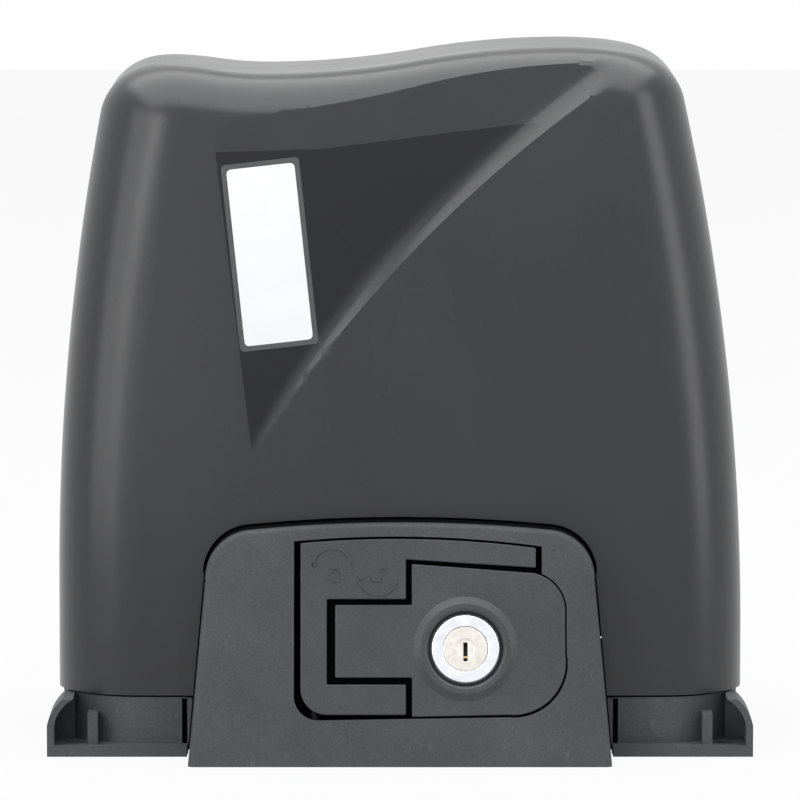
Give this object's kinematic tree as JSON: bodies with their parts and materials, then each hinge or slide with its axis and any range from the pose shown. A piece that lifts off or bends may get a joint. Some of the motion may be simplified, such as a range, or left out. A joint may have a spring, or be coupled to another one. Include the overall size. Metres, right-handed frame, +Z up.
{
  "type": "sliding gate motor",
  "caption": "Rack-drive sliding gate motor with a dark moulded cover, a keyed hinged release lever, worm gearbox and an output pinion.",
  "frame": {"origin": "centre of the four anchor holes, on the underside of the foot plate", "axes": "+X to the right seen from the release lever, +Y from the release lever towards the rack and pinion, +Z up"},
  "size_m": [0.25, 0.2175, 0.2488],
  "materials": {
    "base_plastic": "mottled, slightly rough",
    "cover_plastic": "satin to semi-gloss",
    "lever_plastic": "satin",
    "chrome": "polished",
    "bright_steel": "ground",
    "zinc_steel": "zinc plated",
    "nylon_black": "matte",
    "cast_aluminium": "as cast",
    "bronze": "machined",
    "rubber": "matte",
    "lamination_steel": "laminated",
    "copper": "enamelled wire",
    "capacitor_white": "satin",
    "board_green": "solder mask",
    "chip_black": "matte",
    "relay_blue": "satin",
    "terminal_green": "satin",
    "glass": "clear"
  },
  "bodies": {
    "base": {"base_tray": "base_plastic", "release_housing": "base_plastic", "housing_screws": "zinc_steel", "cover_screws": "zinc_steel", "lever_hinge_pin": "bright_steel", "gearbox_housing": "cast_aluminium", "gearbox_cover": "cast_aluminium", "gearbox_cover_screws": "zinc_steel", "gearbox_mount_bolts": "zinc_steel", "output_bearings": "bright_steel", "worm_bearings": "bright_steel", "shaft_seal": "rubber", "stator_core": "lamination_steel", "stator_windings": "copper", "motor_end_cap": "cast_aluminium", "motor_tie_bolts": "zinc_steel", "rear_plate": "base_plastic", "rear_plate_screws": "zinc_steel", "capacitor": "capacitor_white", "capacitor_clamp": "lever_plastic", "board_tray": "lever_plastic", "circuit_board": "board_green", "board_chips": "chip_black", "heat_sink": "cast_aluminium", "transformer": "lamination_steel", "relays": "relay_blue", "terminal_blocks": "terminal_green", "fuse": "glass", "fuse_holder": "chip_black", "limit_sensor": "lever_plastic", "sensor_bracket": "zinc_steel", "cable_grommet": "rubber"},
    "cover": {"cover": "cover_plastic"},
    "lever": {"release_lever": "lever_plastic", "lock_plate": "lever_plastic", "lock_body": "chrome", "lock_nut": "zinc_steel"},
    "lock": {"lock_plug": "chrome", "lock_cam": "zinc_steel"},
    "slider": {"release_slider": "nylon_black"},
    "pin": {"release_pin": "bright_steel"},
    "output": {"worm_wheel": "bronze", "output_shaft": "bright_steel", "pinion": "zinc_steel", "pinion_key": "bright_steel", "pinion_retainer": "zinc_steel"},
    "clutch": {"clutch_rod": "bright_steel", "clutch_cross_pin": "bright_steel", "clutch_sleeve": "bright_steel", "clutch_spring": "bright_steel"},
    "rotor": {"worm_shaft": "bright_steel", "rotor_core": "lamination_steel"}
  },
  "joints": [
    {"name": "cover_lift", "type": "slide", "parent": "base", "child": "cover", "axis": [0, 0, 1], "range_m": [0, 0.27]},
    {"name": "lever_hinge", "type": "hinge", "parent": "base", "child": "lever", "pos_m": [-0.03, -0.09089, 0.04553], "axis": [0, -0.1908, -0.9816], "range_deg": [0, 90]},
    {"name": "lock_turn", "type": "hinge", "parent": "lever", "child": "lock", "pos_m": [0.023, -0.09508, 0.04074], "axis": [0, -0.9816, 0.1908], "range_deg": [0, 90]},
    {"name": "slider_slide", "type": "slide", "parent": "base", "child": "slider", "axis": [1, 0, 0], "range_m": [0, 0.01415]},
    {"name": "pin_slide", "type": "slide", "parent": "base", "child": "pin", "axis": [0, 1, 0], "range_m": [0, 0.00501]},
    {"name": "output_spin", "type": "hinge", "parent": "base", "child": "output", "pos_m": [0, 0, 0.058], "axis": [0, 1, 0], "continuous": true},
    {"name": "clutch_slide", "type": "slide", "parent": "output", "child": "clutch", "axis": [0, 1, 0], "range_m": [0, 0.00501], "deforming": ["clutch_spring"]},
    {"name": "rotor_spin", "type": "hinge", "parent": "base", "child": "rotor", "pos_m": [0, -0.008, 0.095], "axis": [1, 0, 0], "continuous": true}
  ],
  "couplings": [
    {"joint": "slider_slide", "follows": "lever_hinge", "m_per_rad": 0.0090031},
    {"joint": "pin_slide", "follows": "lever_hinge", "m_per_rad": 0.0031831},
    {"joint": "clutch_slide", "follows": "lever_hinge", "m_per_rad": 0.0031831},
    {"joint": "rotor_spin", "follows": "output_spin", "ratio": -27}
  ]
}
